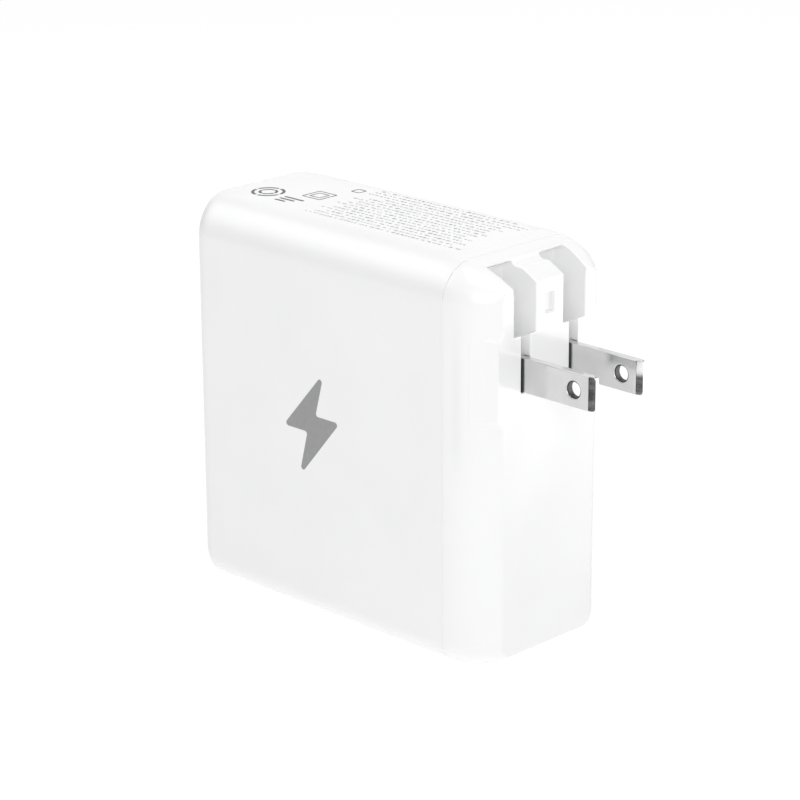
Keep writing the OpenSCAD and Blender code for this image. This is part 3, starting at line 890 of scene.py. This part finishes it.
# Where the camera's line of sight goes on to once it is mirrored in a surface of the adapter
OFF_PLUG_FACE = (0.667, 0.674, -0.317)
OFF_TOP_EDGE = (-0.667, -0.317, 0.674)
OFF_TOP = (-0.667, 0.674, 0.317)
OFF_BLADE_BEVEL = (-0.215, -0.923, -0.317)


def camera_turn(azimuth, elevation, roll):
    """Rotation of a camera that looks back along that azimuth and elevation, in degrees."""
    a, e, r = map(math.radians, (azimuth, elevation, roll))
    back = Vector((math.sin(a) * math.cos(e), -math.cos(a) * math.cos(e), math.sin(e)))
    level = Vector((math.cos(a), math.sin(a), 0))
    upright = back.cross(level)
    right = level * math.cos(r) + upright * math.sin(r)
    up = upright * math.cos(r) - level * math.sin(r)
    return Matrix((right, up, back)).transposed()


def make_camera():
    """The camera, at the photograph's viewing angle."""
    turn = camera_turn(CAMERA_AZIMUTH, CAMERA_ELEVATION, CAMERA_ROLL)
    data = bpy.data.cameras.new("camera")
    data.lens = CAMERA_LENS
    data.sensor_width = 36.0
    data.clip_start = 0.02
    camera = bpy.data.objects.new("camera", data)
    camera.matrix_world = Matrix.Translation(CAMERA_PLACE) @ turn.to_4x4()
    bpy.context.scene.collection.objects.link(camera)
    bpy.context.scene.camera = camera


def make_world():
    """Even white light from all round."""
    world = bpy.data.worlds.new("studio")
    world.use_nodes = True
    world.node_tree.nodes["Background"].inputs["Color"].default_value = (1, 1, 1, 1)
    world.node_tree.nodes["Background"].inputs["Strength"].default_value = WORLD_GLOW
    bpy.context.scene.world = world


def make_light(name, place, target, size, power):
    """A square softbox that faces a point."""
    data = bpy.data.lights.new(name, "AREA")
    data.size = size
    data.energy = power
    light = bpy.data.objects.new(name, data)
    light.location = place
    light.rotation_euler = (Vector(target) - Vector(place)).to_track_quat("-Z", "Y").to_euler()
    bpy.context.scene.collection.objects.link(light)


def make_sheet(name, reach, albedo, roughness, specular, glow):
    """A flat square piece of the stage, and the paper it is made of, which may give off light."""
    mesh = bpy.data.meshes.new(name)
    corners = [(-reach, -reach, 0), (reach, -reach, 0), (reach, reach, 0), (-reach, reach, 0)]
    mesh.from_pydata(corners, [], [(0, 1, 2, 3)])
    sheet = bpy.data.objects.new(name, mesh)
    bpy.context.scene.collection.objects.link(sheet)
    paper = Surface(name + "_paper", (albedo, albedo, albedo), roughness)
    paper.shader.inputs["Specular IOR Level"].default_value = specular
    paper.shader.inputs["Emission Color"].default_value = (1, 1, 1, 1)
    paper.shader.inputs["Emission Strength"].default_value = glow
    mesh.materials.append(paper.material)
    return sheet, paper


def make_card(name, subject, direction, distance, width, height, glow, rim=1.0):
    """A card that only shows in reflections, seen from a subject (in millimetres) along a direction.

    A dark one draws the edges of the metal. A bright one gives a soft highlight, which fades from
    its glow in the middle to the one at its rim.
    """
    towards = Vector(direction).normalized()
    card, paper = make_sheet(name, reach=1, albedo=0, roughness=1.0, specular=0, glow=0)
    card.matrix_world = Matrix.LocRotScale(Vector(subject) * MM + towards * distance,
                                           towards.to_track_quat("-Z", "Y"),
                                           Vector((width / 2, height / 2, 1)))
    if glow:
        fade = paper.nodes.new("ShaderNodeTexGradient")
        fade.gradient_type = "SPHERICAL"
        spread = paper.nodes.new("ShaderNodeMapRange")
        spread.interpolation_type = "SMOOTHSTEP"
        spread.inputs["To Min"].default_value = rim
        spread.inputs["To Max"].default_value = glow
        paper.link(paper.place, fade.inputs["Vector"])
        paper.link(fade.outputs["Fac"], spread.inputs["Value"])
        paper.link(spread.outputs["Result"], paper.shader.inputs["Emission Strength"])
    card.visible_camera = False
    card.visible_diffuse = False
    card.visible_shadow = False


def make_stage():
    """The floor, which glows so that it stays as pale as the backdrop, and the lights and cards."""
    make_sheet("floor", reach=6.0, albedo=0.18, roughness=0.9, specular=0.1, glow=FLOOR_GLOW)
    make_light("top_softbox", (0.1, 0.1, 0.75), (0, 0, 0.04), size=0.5, power=2.5)
    make_light("front_softbox", (0.45, -0.45, 0.3), (0.02, 0, 0.04), size=0.4, power=1.2)
    make_card("face_card", (FACE_X, 0, 1.5 * PRONG_Z), OFF_PLUG_FACE, distance=0.06,
              width=0.2, height=0.166, glow=3.6)
    make_card("edge_card", (0, -HALF_W, BODY_H), OFF_TOP_EDGE, distance=0.5,
              width=0.9, height=0.6, glow=2.6, rim=WORLD_GLOW)
    make_card("top_card", (0, 0, BODY_H), OFF_TOP, distance=0.5,
              width=1.4, height=1.0, glow=1.1, rim=WORLD_GLOW)
    make_card("bevel_card", (PRONG_TIP, 0, PRONG_Z), OFF_BLADE_BEVEL, distance=0.14,
              width=0.035, height=0.04, glow=0)
    make_card("back_card", (FACE_X + 13, 4, BLADE_HIGH.z), OFF_TOP, distance=0.15,
              width=0.015, height=0.005, glow=0)


bpy.context.scene.view_settings.view_transform = "Standard"
make_camera()
make_world()
make_stage()
build_pieces()
